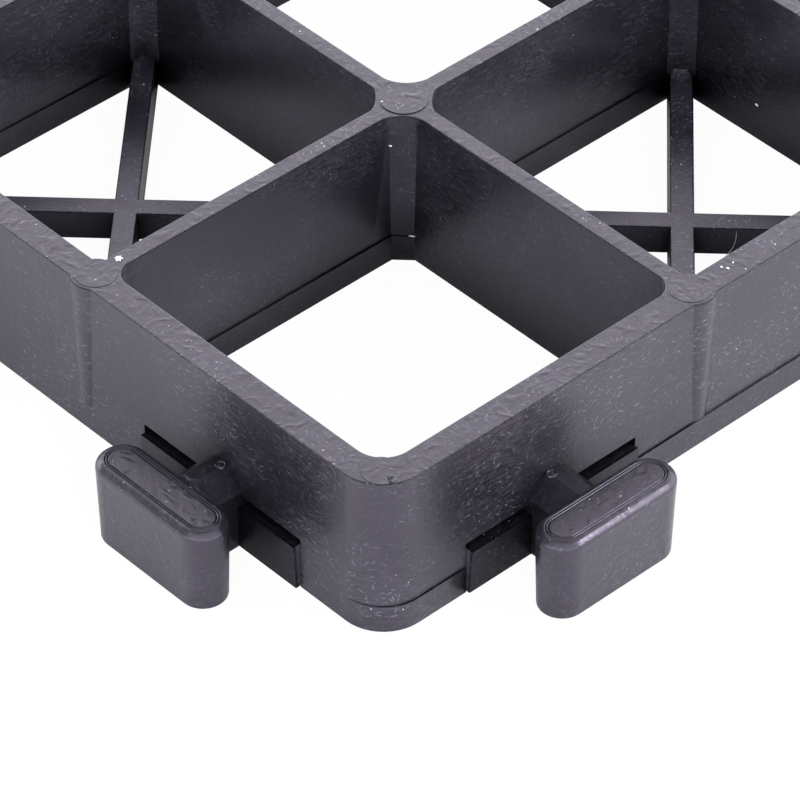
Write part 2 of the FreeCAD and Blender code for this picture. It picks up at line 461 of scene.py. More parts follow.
    def scratches(
        self,
        tree: bpy.types.NodeTree,
        place: bpy.types.NodeSocket,
        facing: bpy.types.NodeSocket,
    ) -> bpy.types.NodeSocket:
        """Short scratches, at most one to a cell of the pattern, mostly level, each in its own direction.

        Real ones are finer than a pixel of the picture, so they are drawn as wide as they need to show.

        Args:
            tree: the material's nodes.
            place: Object coordinates.
            facing: the surface's normal.

        Returns:
            1 on the clearest scratch, 0 beside it.
        """
        width, length = self.scratch_width, self.scratch_length
        bend = add_node(
            tree, "ShaderNodeTexNoise", {"Vector": place, "Scale": per_mm(length * 2.5), "Detail": 0.0}
        ).outputs["Color"]
        bent = add_node(
            tree,
            "ShaderNodeVectorMath",
            {0: bend, 1: (length * MM,) * 3, 2: place},
            operation="MULTIPLY_ADD",
        ).outputs[0]
        cells = add_node(tree, "ShaderNodeTexVoronoi", {"Vector": bent, "Scale": per_mm(self.scratch_cell)})
        chance = add_node(
            tree, "ShaderNodeTexWhiteNoise", {"Vector": cells.outputs["Color"]}
        ).outputs["Value"]
        aim = add_node(
            tree,
            "ShaderNodeVectorMath",
            {0: cells.outputs["Color"], 1: (0.5, 0.5, 0.5)},
            operation="SUBTRACT",
        ).outputs[0]
        lying = add_node(
            tree, "ShaderNodeVectorMath", {0: aim, 1: (1.0, 1.0, 0.5)}, operation="MULTIPLY"
        ).outputs[0]
        offset = add_node(
            tree, "ShaderNodeVectorMath", {0: bent, 1: cells.outputs["Position"]}, operation="SUBTRACT"
        ).outputs[0]
        flat = []
        for vector in (lying, offset):
            depth = add_node(tree, "ShaderNodeVectorMath", {0: vector, 1: facing}, operation="DOT_PRODUCT")
            sunk = add_node(
                tree,
                "ShaderNodeVectorMath",
                {0: facing, "Scale": depth.outputs["Value"]},
                operation="SCALE",
            ).outputs[0]
            laid = add_node(tree, "ShaderNodeVectorMath", {0: vector, 1: sunk}, operation="SUBTRACT")
            flat.append(laid.outputs[0])
        axis = add_node(tree, "ShaderNodeVectorMath", {0: flat[0]}, operation="NORMALIZE").outputs[0]
        along = add_node(
            tree, "ShaderNodeVectorMath", {0: flat[1], 1: axis}, operation="DOT_PRODUCT"
        ).outputs["Value"]
        foot = add_node(
            tree, "ShaderNodeVectorMath", {0: axis, "Scale": along}, operation="SCALE"
        ).outputs[0]
        away = add_node(
            tree, "ShaderNodeVectorMath", {0: flat[1], 1: foot}, operation="DISTANCE"
        ).outputs["Value"]
        line = add_node(
            tree, "ShaderNodeMapRange", {0: away, 1: 0.0, 2: width * MM, 3: 1.0, 4: 0.0}
        ).outputs[0]
        run = add_node(tree, "ShaderNodeMath", {0: along}, operation="ABSOLUTE").outputs[0]
        ends = add_node(
            tree, "ShaderNodeMapRange", {0: run, 1: 0.3 * length * MM, 2: length * MM, 3: 1.0, 4: 0.0}
        ).outputs[0]
        keep = add_node(
            tree, "ShaderNodeMapRange", {0: chance, 1: 1 - self.scratch_share, 2: 1.0, 3: 0.1, 4: 0.85}
        ).outputs[0]
        drawn = add_node(tree, "ShaderNodeMath", {0: line, 1: ends}, operation="MULTIPLY").outputs[0]
        return add_node(tree, "ShaderNodeMath", {0: drawn, 1: keep}, operation="MULTIPLY").outputs[0]

    def specks(
        self,
        tree: bpy.types.NodeTree,
        place: bpy.types.NodeSocket,
        level: bpy.types.NodeSocket,
        patches: bpy.types.NodeSocket,
    ) -> tuple[bpy.types.NodeSocket, bpy.types.NodeSocket]:
        """Grains of pale dust and a few of clay, 0.3 to 0.7 mm across, mostly on level faces and in drifts.

        Args:
            tree: the material's nodes.
            place: Object coordinates.
            level: 1 on level faces, 0 on walls.
            patches: wide noise, high where the dust drifts.

        Returns:
            The grains' mask, and which of them are clay.
        """
        ragged = add_node(
            tree, "ShaderNodeTexNoise", {"Vector": place, "Scale": per_mm(0.5), "Detail": 0.0}
        ).outputs["Color"]
        torn = add_node(
            tree,
            "ShaderNodeVectorMath",
            {0: ragged, 1: (0.5 * MM,) * 3, 2: place},
            operation="MULTIPLY_ADD",
        ).outputs[0]
        cells = add_node(tree, "ShaderNodeTexVoronoi", {"Vector": torn, "Scale": per_mm(1.5)})
        chance = add_node(tree, "ShaderNodeSeparateColor", {0: cells.outputs["Color"]})
        size = add_node(
            tree, "ShaderNodeMapRange", {0: chance.outputs[0], 1: 0.3, 2: 1.0, 3: 0.0, 4: 0.19}
        ).outputs[0]
        thick = add_node(
            tree, "ShaderNodeMapRange", {0: patches, 1: 0.4, 2: 0.65, 3: 0.55, 4: 1.1}
        ).outputs[0]
        share = add_node(tree, "ShaderNodeMapRange", {0: level, 3: 0.5, 4: 1.0}).outputs[0]
        spread = add_node(tree, "ShaderNodeMath", {0: share, 1: thick}, operation="MULTIPLY").outputs[0]
        reach = add_node(tree, "ShaderNodeMath", {0: size, 1: spread}, operation="MULTIPLY").outputs[0]
        mask = add_node(
            tree, "ShaderNodeMath", {0: cells.outputs["Distance"], 1: reach}, operation="LESS_THAN"
        ).outputs[0]
        pale = add_node(tree, "ShaderNodeMapRange", {0: chance.outputs[1], 3: 0.25, 4: 1.0}).outputs[0]
        soft = add_node(tree, "ShaderNodeMath", {0: mask, 1: pale}, operation="MULTIPLY").outputs[0]
        clay = add_node(
            tree, "ShaderNodeMath", {0: chance.outputs[2], 1: 0.86}, operation="GREATER_THAN"
        ).outputs[0]
        return soft, clay

    def flash_shadow_line(
        self,
        tree: bpy.types.NodeTree,
        place: bpy.types.NodeSocket,
        up: bpy.types.NodeSocket,
        grain: bpy.types.NodeSocket,
    ) -> bpy.types.NodeSocket:
        """A broken painted shadow line where flash was cut off the top edges of the walls, marks and bars.

        Args:
            tree: the material's nodes.
            place: Object coordinates.
            up: how far the surface faces up.
            grain: fine noise that breaks the line.

        Returns:
            1 on the line, 0 beside it.
        """
        height = add_node(tree, "ShaderNodeSeparateXYZ", {0: place}).outputs["Z"]
        high, low = (
            add_node(
                tree, "ShaderNodeMath", {0: height, 1: middle * MM, 2: reach * MM}, operation="COMPARE"
            ).outputs[0]
            for middle, reach in self.flash_shadow_lines
        )
        steep = add_node(tree, "ShaderNodeMath", {0: up, 1: 0.85}, operation="LESS_THAN").outputs[0]
        sloped = add_node(tree, "ShaderNodeMath", {0: up, 1: 0.2}, operation="GREATER_THAN").outputs[0]
        rim = add_node(tree, "ShaderNodeMath", {0: high, 1: steep}, operation="MULTIPLY").outputs[0]
        bar = add_node(tree, "ShaderNodeMath", {0: low, 1: sloped}, operation="MULTIPLY").outputs[0]
        both = add_node(tree, "ShaderNodeMath", {0: rim, 1: bar}, operation="ADD").outputs[0]
        drawn = add_node(
            tree, "ShaderNodeMapRange", {0: grain, 1: 0.4, 2: 0.55, 3: 0.15, 4: 0.95}
        ).outputs[0]
        return add_node(tree, "ShaderNodeMath", {0: both, 1: drawn}, operation="MULTIPLY").outputs[0]

    def painted_shade_factor(
        self,
        tree: bpy.types.NodeTree,
        place: bpy.types.NodeSocket,
        inside: bpy.types.NodeSocket,
        sheltered: bpy.types.NodeSocket,
        reach: bpy.types.NodeSocket,
    ) -> bpy.types.NodeSocket:
        """Painted shade: nooks, the pads and the feet of upright faces in the cells get darker colour and
        reflection.

        Args:
            tree: the material's nodes.
            place: Object coordinates.
            inside: 1 in the cells and on the inner walls, 0 on the outer walls and lugs.
            sheltered: 1 on upright faces in the cells, 0 elsewhere.
            reach: distance from the panel's middle, square to its sides.

        Returns:
            1 in the open, less in the nooks.
        """
        # Painted shade: ambient occlusion darkens nooks and creases, more in the cells than outside.
        seen = add_node(
            tree,
            "ShaderNodeAmbientOcclusion",
            {"Distance": self.painted_shade_reach * MM},
            samples=3,
            only_local=True,
        ).outputs["AO"]
        darkest = add_node(
            tree, "ShaderNodeMapRange", {0: inside, 3: self.painted_shade_outside, 4: self.painted_shade_inside}
        ).outputs[0]
        airy = add_node(
            tree, "ShaderNodeMapRange", {0: seen, 1: 0.3, 2: 0.78, 3: darkest, 4: 1.0}
        ).outputs[0]
        height = add_node(tree, "ShaderNodeSeparateXYZ", {0: place}).outputs["Z"]
        # Painted shade on the spacer pads, below their tops.
        below = add_node(
            tree, "ShaderNodeMath", {0: height, 1: self.pad_height * MM}, operation="LESS_THAN"
        ).outputs[0]
        on_pad = add_node(
            tree,
            "ShaderNodeMath",
            {0: reach, 1: self.pad_reach * MM, 2: self.pad_slack * MM},
            operation="COMPARE",
        ).outputs[0]
        pad = add_node(tree, "ShaderNodeMath", {0: below, 1: on_pad}, operation="MULTIPLY").outputs[0]
        pad_shade = add_node(tree, "ShaderNodeMapRange", {0: pad, 3: 1.0, 4: self.pad_painted_shade}).outputs[0]
        # Painted shade at the feet of upright faces in the cells, darkest at the floor.
        low = add_node(
            tree, "ShaderNodeMapRange", {0: height, 1: 3 * MM, 2: 20 * MM, 3: 0.6, 4: 0.0}
        ).outputs[0]
        foot_shade = add_node(tree, "ShaderNodeMath", {0: low, 1: sheltered}, operation="MULTIPLY").outputs[0]
        foot_unshaded = add_node(tree, "ShaderNodeMath", {0: 1.0, 1: foot_shade}, operation="SUBTRACT").outputs[0]
        unshaded = add_node(tree, "ShaderNodeMath", {0: airy, 1: foot_unshaded}, operation="MULTIPLY").outputs[0]
        return add_node(tree, "ShaderNodeMath", {0: unshaded, 1: pad_shade}, operation="MULTIPLY").outputs[0]


@dataclass(frozen=True)
class PaleChips:
    """Shavings and grit of a pale plastic: matt, almost white."""

    colour: str = "#e9e8ee"
    shade: str = "#c4c2cb"
    roughness: float = 0.6

    def material(self) -> bpy.types.Material:
        """Build the node material.

        Returns:
            The finished material.
        """
        material = bpy.data.materials.new("pale_plastic_chips")
        material.use_nodes = True
        tree = material.node_tree
        tree.nodes.clear()
        place = add_node(tree, "ShaderNodeTexCoord").outputs["Object"]
        noise = add_node(tree, "ShaderNodeTexNoise", {"Vector": place, "Scale": per_mm(0.6)}).outputs[0]
        shade = add_node(
            tree,
            "ShaderNodeMix",
            {0: noise, 6: linear(self.colour), 7: linear(self.shade)},
            data_type="RGBA",
        ).outputs[2]
        shader = add_node(
            tree, "ShaderNodeBsdfPrincipled", {"Base Color": shade, "Roughness": self.roughness}
        )
        add_node(tree, "ShaderNodeOutputMaterial", {"Surface": shader.outputs[0]})
        return material


@dataclass
class Panel:
    """The moulded panel: the CAD shape with edges worn round, its parting groove and the lugs' rim lines.

    The slits' and pads' sizes are those of the CAD source. slit_extra and pad_low_run are added to them.
    """

    layout: Layout
    weld: float = 0.002
    cut_slack: float = 0.001
    split: float = 13.0
    flat_angle: float = 1.0
    sharp_angle: float = 28.0
    rim_round: float = 0.28
    bar_round: float = 0.4
    lug_round: float = 0.6
    groove_drop: float = 0.3
    level_slack: float = 0.02
    spot_slack: float = 0.05
    head_gap: float = 9.0
    slit_top: float = 15.1
    slit_depth: float = 2.4
    slit_extra: float = 3.0
    slit_end: float = 27.9
    pad_top: float = 12.4
    pad_crown: float = 25.7
    pad_foot: float = 26.5
    pad_low_run: float = 1.25
    pad_most_proud: float = 2.0
    end_margin: float = 0.5
    ring_margin: float = 0.1
    ring_width: float = 0.19
    ring_depth: float = 0.3
    ring_gap: float = 0.26
    rings: int = 2
    least_corners: int = 12

    def build(self, node: bpy.types.Object, material: bpy.types.Material) -> bpy.types.Object:
        """Make the piece that stands for the CAD node.

        Args:
            node: the CAD node's object.
            material: the panel's finish.

        Returns:
            The panel's object.
        """
        bm = bmesh.new()
        bm.from_mesh(node.data)
        bmesh.ops.remove_doubles(bm, verts=bm.verts, dist=self.weld * MM)
        self.merge_flats(bm)
        self.open_parting(bm)
        self.deepen_slits(bm)
        round_edges(bm, self.lug_edges(bm), self.lug_round, segments=3)
        round_edges(bm, self.level_edges(bm, self.layout.bar_top), self.bar_round, segments=2)
        round_edges(bm, self.level_edges(bm, self.layout.wall_top), self.rim_round, segments=2)
        self.ring_lugs(bm)
        panel = finish_mesh(bm, "panel", material, self.sharp_angle)
        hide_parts(GRID_NODE)
        return panel

    def merge_flats(self, bm: bmesh.types.BMesh) -> None:
        """Cut the mesh beside each crossing, then merge its triangles into flat faces without holes.

        Args:
            bm: the mesh.
        """
        for index in range(self.layout.cells + 1):
            for side in (-self.split, self.split):
                for axis in Axis:
                    normal = Vector((0, 0, 0))
                    normal[axis.value] = 1
                    cut = bmesh.ops.bisect_plane(
                        bm,
                        geom=bm.verts[:] + bm.edges[:] + bm.faces[:],
                        dist=self.cut_slack * MM,
                        plane_co=normal * (self.layout.line(index) + side) * MM,
                        plane_no=normal,
                    )
                    for item in cut["geom_cut"]:
                        if isinstance(item, bmesh.types.BMEdge):
                            item.seam = True
        bmesh.ops.dissolve_limit(
            bm,
            angle_limit=math.radians(self.flat_angle),
            verts=bm.verts,
            edges=bm.edges,
            delimit={"SEAM"},
        )

    def open_parting(self, bm: bmesh.types.BMesh) -> None:
        """Slope the narrow ledges of the parting plane inwards, so that they read as a groove.

        Args:
            bm: the mesh.
        """
        height = self.layout.parting * MM
        slack = self.level_slack * MM
        deep = set()
        for face in bm.faces:
            if face.normal.z < LEVEL or abs(face.calc_center_median().z - height) > slack:
                continue
            for edge in face.edges:
                for other in edge.link_faces:
                    if abs(other.normal.z) < STEEP and other.calc_center_median().z > height:
                        deep.update(edge.verts)
        for vert in deep:
            vert.co.z -= self.groove_drop * MM

    def deepen_slits(self, bm: bmesh.types.BMesh) -> None:
        """Sink the slits beside the spacer pads deeper, and let the pads run closer to the slits' ends.

        Args:
            bm: the mesh.
        """
        face = self.layout.low_face()
        middles = self.layout.lug_middles()
        slack = self.spot_slack
        for vert in bm.verts:
            spot = vert.co / MM
            if spot.z > self.slit_top + slack:
                continue
            for axis in Axis:
                deep = spot[axis.value] - face
                place = min((spot[1 - axis.value] - middle for middle in middles), key=abs)
                if abs(place) > self.slit_end + self.end_margin or deep < -self.pad_most_proud:
                    continue
                in_slit = abs(deep - self.slit_depth) < slack
                if in_slit:
                    vert.co[axis.value] += self.slit_extra * MM
                at_end = self.pad_crown - slack < abs(place) < self.pad_foot + slack
                if not at_end or spot.z > self.pad_top + slack:
                    continue
                if place > 0 and deep < slack:
                    vert.co[1 - axis.value] += (self.slit_end - place) * MM
                elif place < 0 and (in_slit or deep < slack):
                    vert.co[1 - axis.value] -= self.pad_low_run * MM

    def sharp_edges(self, bm: bmesh.types.BMesh) -> list[bmesh.types.BMEdge]:
        """Outer edges that a worn moulding has rounded, clear of the parting plane.

        Args:
            bm: the mesh.

        Returns:
            The edges.
        """
        low = (self.layout.parting - 2 * self.groove_drop) * MM
        high = (self.layout.parting + self.level_slack) * MM
        found = []
        for edge in bm.edges:
            if len(edge.link_faces) != 2 or edge.calc_face_angle_signed(0) < math.radians(self.sharp_angle):
                continue
            if any(low < vert.co.z < high for vert in edge.verts):
                continue
            found.append(edge)
        return found

    def lug_edges(self, bm: bmesh.types.BMesh) -> list[bmesh.types.BMEdge]:
        """The sharp edges of the lugs' heads."""
        reach = (self.layout.low_face() - self.head_gap) * MM
        return [e for e in self.sharp_edges(bm) if all(min(v.co.x, v.co.y) < reach for v in e.verts)]

    def level_edges(self, bm: bmesh.types.BMesh, height: float) -> list[bmesh.types.BMEdge]:
        """The sharp edges of the panel at one height, apart from the lugs' heads.

        Args:
            bm: the mesh.
            height: that height.

        Returns:
            The edges.
        """
        reach = (self.layout.low_face() - self.head_gap) * MM
        slack = self.level_slack * MM
        found = []
        for edge in self.sharp_edges(bm):
            if any(min(v.co.x, v.co.y) < reach for v in edge.verts):
                continue
            if all(abs(v.co.z - height * MM) < slack for v in edge.verts):
                found.append(edge)
        return found

    def ring_lugs(self, bm: bmesh.types.BMesh) -> None:
        """Press fine lines into the top of each lug, along its rim.

        Args:
            bm: the mesh.
        """
        height = self.layout.lug_top * MM
        slack = self.spot_slack * MM
        tops = []
        for face in bm.faces:
            at_top = abs(face.calc_center_median().z - height) < slack
            if at_top and face.normal.z > LEVEL and len(face.verts) > self.least_corners:
                tops.append(face)
        log.info("lug tops: %d", len(tops))
        width, depth = self.ring_width, self.ring_depth
        line = [(width, -depth), (width, depth), (self.ring_gap, 0.0)]
        for inset, rise in [(self.ring_margin, 0.0)] + line * self.rings:
            bmesh.ops.inset_individual(
                bm, faces=tops, thickness=inset * MM, depth=rise * MM, use_even_offset=True
            )


@dataclass
class EjectorMarks:
    """The round marks of the mould's ejector pins, a little proud of the walls' tops."""

    layout: Layout
    radius: float = 6.2
    edge_radius: float = 5.4
    edge_shift: float = 0.6
    corner_radius: float = 4.8
    corner_shift: float = 1.3
    proud: float = 0.26
    edge_proud: float = 0.13
    sunk: float = 0.5
    edge: float = 0.06
    segments: int = 48

    def build(self, material: bpy.types.Material) -> bpy.types.Object:
        """Make all the marks as one piece.

        Args:
            material: the panel's finish.

        Returns:
            The marks' object.
        """
        bm = bmesh.new()
        for column, row in self.layout.crossings():
            out_x, out_y = self.layout.outward(column), self.layout.outward(row)
            sides = abs(out_x) + abs(out_y)
            shift = (0.0, self.edge_shift, -self.corner_shift)[sides]
            radius = (self.radius, self.edge_radius, self.corner_radius)[sides]
            x = self.layout.line(column) + shift * out_x
            y = self.layout.line(row) + shift * out_y
            proud = self.edge_proud if sides else self.proud
            self.add_mark(bm, Vector((x, y, self.layout.wall_top)), radius, proud)
        marks = finish_mesh(bm, "ejector_marks", material, smooth=40)
        return marks

    def add_mark(self, bm: bmesh.types.BMesh, centre: Vector, radius: float, proud: float) -> None:
        """Add one round mark.

        Args:
            bm: the mesh of all the marks.
            centre: middle of the mark on the wall's top.
            radius: its radius.
            proud: how far it stands above the wall's top.
        """
        foot = Matrix.Translation((centre - Vector((0, 0, self.sunk))) * MM)
        disc = bmesh.ops.create_circle(
            bm, cap_ends=True, segments=self.segments, radius=radius * MM, matrix=foot
        )
        face = disc["verts"][0].link_faces[0]
        risen = bmesh.ops.extrude_face_region(bm, geom=[face])["geom"]
        verts = [item for item in risen if isinstance(item, bmesh.types.BMVert)]
        bmesh.ops.translate(bm, verts=verts, vec=Vector((0, 0, self.sunk + proud)) * MM)
        rim = [item for item in risen if isinstance(item, bmesh.types.BMEdge)]
        round_edges(bm, rim, self.edge, segments=1)


@dataclass
class EdgeColumns:
    """The shallow round columns on the outer walls, one before each crossing, down to the parting plane."""

    layout: Layout
    top: float = 45.7
    top_half: float = 3.88
    foot_half: float = 2.4
    top_crease: float = 40.0
    foot_crease: float = 16.0
    sunk: float = 0.3
    segments: int = 12

    def build(self, material: bpy.types.Material) -> bpy.types.Object:
        """Make all the columns as one piece.

        Args:
            material: the panel's finish.

        Returns:
            The columns' object.
        """
        bm = bmesh.new()
        for column, row in self.layout.crossings():
            out = Vector((self.layout.outward(column), self.layout.outward(row), 0))
            if abs(out.x) + abs(out.y) == 1:
                crossing = Vector((self.layout.line(column), self.layout.line(row), 0))
                self.add_column(bm, crossing + out * self.layout.outer_face, out)
        columns = finish_mesh(bm, "edge_columns", material, smooth=25)
        return columns

    def add_column(self, bm: bmesh.types.BMesh, place: Vector, out: Vector) -> None:
        """Add one column.

        Args:
            bm: the mesh of all the columns.
            place: its middle line, on the wall's outer face at the floor.
            out: direction out of the panel.
        """
        along = Vector((-out.y, out.x, 0))
        rings = []
        ends = (
            (self.layout.parting, self.foot_half, math.radians(self.foot_crease)),
            (self.top, self.top_half, math.radians(self.top_crease)),
        )
        for height, half, crease in ends:
            level = place + Vector((0, 0, height))
            radius = half / math.sin(crease)
            ring = [level - along * half - out * self.sunk]
            for step in range(self.segments + 1):
                turn = crease * (2 * step / self.segments - 1)
                rise = radius * (math.cos(turn) - math.cos(crease))
                ring.append(level + along * radius * math.sin(turn) + out * rise)
            ring.append(level + along * half - out * self.sunk)
            rings.append([bm.verts.new(point * MM) for point in ring])
        low, high = rings
        for side in range(len(low) - 1):
            bm.faces.new((low[side], low[side + 1], high[side + 1], high[side]))
        bm.faces.new((low[-1], low[0], high[0], high[-1]))
        bm.faces.new(low[::-1])
        bm.faces.new(high)


@dataclass
class CornerFlats:
    """The flats across the corners of the barred cells, which round out to the walls at the top.

    The draft is how much the walls thicken on each side to a millimetre of depth.
    """

    layout: Layout
    wall_half: float = 2.35
    draft: float = 0.0105
    width: float = 7.4
    mouth_run: float = 4.9
    mouth_lead: float = 2.0
    mouth_foot: float = 39.0
    sunk: float = 0.5
    top: float = 46.02
    edge: float = 0.28
    segments: int = 8

    def build(self, material: bpy.types.Material) -> bpy.types.Object:
        """Make all the flats as one piece.

        Args:
            material: the panel's finish.

        Returns:
            The flats' object.
        """
        bm = bmesh.new()
        for column, row in self.layout.crossings():
            if self.layout.outward(column) or self.layout.outward(row):
                continue
            crossing = Vector((self.layout.line(column), self.layout.line(row), 0))
            for x, y in ((1, 1), (-1, 1), (-1, -1), (1, -1)):
                cell = (column + (x - 1) // 2, row + (y - 1) // 2)
                if sum(cell) % 2:
                    self.add_flat(bm, crossing, Vector((x, 0, 0)), Vector((0, y, 0)))
        flats = finish_mesh(bm, "corner_flats", material, smooth=25)
        return flats

    def outline(self, height: float) -> list[tuple[float, float]]:
        """Section of a flat, rooted in both walls, as distances from the crossing along the walls.

        Args:
            height: where the section is cut.

        Returns:
            The points of its front, from one wall to the other, then those in the walls.
        """
        face = self.wall_half + self.draft * (self.layout.wall_top - height)
        root = face - self.sunk
        run, lead = self.width / math.sqrt(2), 0.0
        if height > self.mouth_foot:
            run, lead = self.mouth_run, self.mouth_lead
        front = []
        for step in range(self.segments + 1):
            share = step / self.segments
            rise, fall = share**3, (1 - share) ** 3
            if lead:
                along = 3 * run * share**2 * (1 - share) + (run + lead) * rise
                across = 3 * run * share * (1 - share) ** 2 + (run + lead) * fall
            else:
                along, across = run * share, run * (1 - share)
            front.append((face + along, face + across))
        return front + [(front[-1][0], root), (root, root), (root, front[0][1])]

    def add_flat(self, bm: bmesh.types.BMesh, crossing: Vector, one: Vector, other: Vector) -> None:
        """Fill one corner.

        Args:
            bm: the mesh of all the flats.
            crossing: where the walls' middle lines cross.
            one: direction of one wall, away from the crossing.
            other: direction of the other wall.
        """
        rings = []
        for height in (self.layout.parting, self.mouth_foot, self.top):
            level = crossing + Vector((0, 0, height))
            points = [level + one * a + other * b for a, b in self.outline(height)]
            rings.append([bm.verts.new(point * MM) for point in points])
        faces = [bm.faces.new(rings[0]), bm.faces.new(rings[-1])]
        count = len(rings[0])
        for low, high in zip(rings, rings[1:]):
            for side in range(count):
                after = (side + 1) % count
                faces.append(bm.faces.new((low[side], low[after], high[after], high[side])))
        bmesh.ops.recalc_face_normals(bm, faces=faces)
        front = rings[-1][: self.segments + 1]
        mouth = [bm.edges.get(pair) for pair in zip(front, front[1:])]
        round_edges(bm, mouth, self.edge, segments=2)


@dataclass
class GateMarks:
    """The small round scars of the mould's gates, one on the neck of each lug, close to the wall."""

    layout: Layout
    along: float = -1.5
    out: float = 1.3
    profile: tuple[tuple[float, float], ...] = (
        (0.0, 0.16),
        (0.7, 0.12),
        (0.9, 0.03),
        (1.05, 0.24),
        (1.25, 0.26),
        (1.45, 0.0),
        (1.45, -0.3),
    )
    segments: int = 20
    weld: float = 0.001

    def build(self, material: bpy.types.Material) -> bpy.types.Object:
        """Make all the scars as one piece.

        Args:
            material: the panel's finish.

        Returns:
            The scars' object.
        """
        bm = bmesh.new()
        for middle in self.layout.lug_middles():
            spot = (self.layout.low_face() - self.out, middle + self.along)
            for x, y in (spot, spot[::-1]):
                self.add_scar(bm, Vector((x, y, self.layout.neck_top)))
        scars = finish_mesh(bm, "gate_marks", material, smooth=50)
        return scars

    def add_scar(self, bm: bmesh.types.BMesh, centre: Vector) -> None:
        """Turn one scar about its upright middle line.

        Args:
            bm: the mesh of all the scars.
            centre: middle of the scar on the neck's top.
        """
        points = [centre + Vector((radius, 0, height)) for radius, height in self.profile]
        verts = [bm.verts.new(point * MM) for point in points]
        edges = [bm.edges.new(pair) for pair in zip(verts, verts[1:])]
        bmesh.ops.spin(
            bm,
            geom=verts + edges,
            cent=centre * MM,
            axis=(0, 0, 1),
            angle=math.tau,
            steps=self.segments,
            use_merge=True,
        )
        bmesh.ops.remove_doubles(bm, verts=bm.verts, dist=self.weld * MM)
        bmesh.ops.recalc_face_normals(bm, faces=bm.faces)


@dataclass(frozen=True)
class Chip:
    """A fleck stuck to the panel: its middle, its half sizes and its turn about the upright, in degrees."""

    centre: tuple[float, float, float]
    size: tuple[float, float, float]
    turn: float = 0.0


STUCK_FLECKS = (
    Chip((-231.4, -137.8, 46.1), (1.2, 0.34, 0.3), 20),
    Chip((-231.4, -137.8, 46.1), (1.05, 0.3, 0.3), 80),
    Chip((-231.4, -137.8, 46.1), (0.95, 0.36, 0.34), 140),
    Chip((-127.2, -238.3, 46.1), (0.36, 0.22, 0.2), 40),
    Chip((-126.4, -239.6, 46.1), (0.42, 0.24, 0.2), 110),
    Chip((-123.9, -239.0, 46.1), (0.26, 0.16, 0.18), 10),
    Chip((-123.4, -242.7, 46.05), (0.16, 0.12, 0.12), 60),
    Chip((-141.5, -144.9, 7.75), (0.85, 0.16, 0.16), -52),
    Chip((-145.3, -140.9, 36.5), (0.4, 0.16, 0.26), -45),
    Chip((-40.9, -168.6, 10.5), (0.2, 0.55, 0.4), 0),
)
CORNER_SCAR = (
    Chip((-237.0, -239.5, 46.26), (0.5, 0.3, 0.22), 35),
    Chip((-237.4, -240.3, 46.26), (0.45, 0.26, 0.26), 100),
    Chip((-236.6, -240.2, 46.26), (0.35, 0.25, 0.3), 10),
    Chip((-237.8, -241.0, 46.2), (0.4, 0.22, 0.2), 60),
)


@dataclass
class Flecks:
    """Small ragged grains that lie on the panel."""

    name: str
    chips: tuple[Chip, ...]
    ragged: float = 0.7
    seed: int = 7

    def build(self, material: bpy.types.Material) -> bpy.types.Object:
        """Make all the flecks as one piece.

        Args:
            material: their finish.

        Returns:
            The flecks' object.
        """
        chance = random.Random(self.seed)
        bm = bmesh.new()
        for chip in self.chips:
            turn = Matrix.Rotation(math.radians(chip.turn), 4, "Z")
            place = Matrix.Translation(Vector(chip.centre) * MM) @ turn
            grain = bmesh.ops.create_icosphere(bm, subdivisions=2, radius=1.0)["verts"]
            for vert in grain:
                stretch = 1 + self.ragged * (chance.random() - 0.5)
                vert.co = Vector(a * b * stretch * MM for a, b in zip(vert.co, chip.size))
            bmesh.ops.transform(bm, matrix=place, verts=grain)
        return finish_mesh(bm, self.name, material, smooth=35)


@dataclass
class Fibre:
    """A fine pale fibre that hangs on the side of a bar, bent to an arc."""

    start: tuple[float, float, float] = (-80.8, -200.25, 8.9)
    middle: tuple[float, float, float] = (-81.45, -200.1, 4.3)
    end: tuple[float, float, float] = (-83.4, -198.4, 0.3)
    thickness: float = 0.12
    steps: int = 14
    sides: int = 5

    def build(self, material: bpy.types.Material) -> bpy.types.Object:
        """Make the fibre.

        Args:
            material: its finish.

        Returns:
            The fibre's object.
        """
        points = [self.point(step / self.steps) for step in range(self.steps + 1)]
        bm = bmesh.new()
        rings = []
        for index, point in enumerate(points):
            ahead = points[min(index + 1, self.steps)] - points[max(index - 1, 0)]
            turn = ahead.to_track_quat("Z", "Y").to_matrix().to_4x4()
            place = Matrix.Translation(point * MM) @ turn
            radius = self.thickness / 2 * MM
            ring = bmesh.ops.create_circle(bm, segments=self.sides, radius=radius, matrix=place)
            rings.append(ring["verts"])
        for ring, after in zip(rings, rings[1:]):
            for side in range(self.sides):
                other = (side + 1) % self.sides
                bm.faces.new((ring[side], ring[other], after[other], after[side]))
        return finish_mesh(bm, "fibre", material, smooth=60)

    def point(self, share: float) -> Vector:
        """Place on the fibre's curve.

        Args:
            share: how far along it, from 0 to 1.

        Returns:
            The point, in millimetres.
        """
        start, middle, end = Vector(self.start), Vector(self.middle), Vector(self.end)
        pull = middle * 2 - (start + end) / 2
        return start * (1 - share) ** 2 + pull * 2 * share * (1 - share) + end * share**2


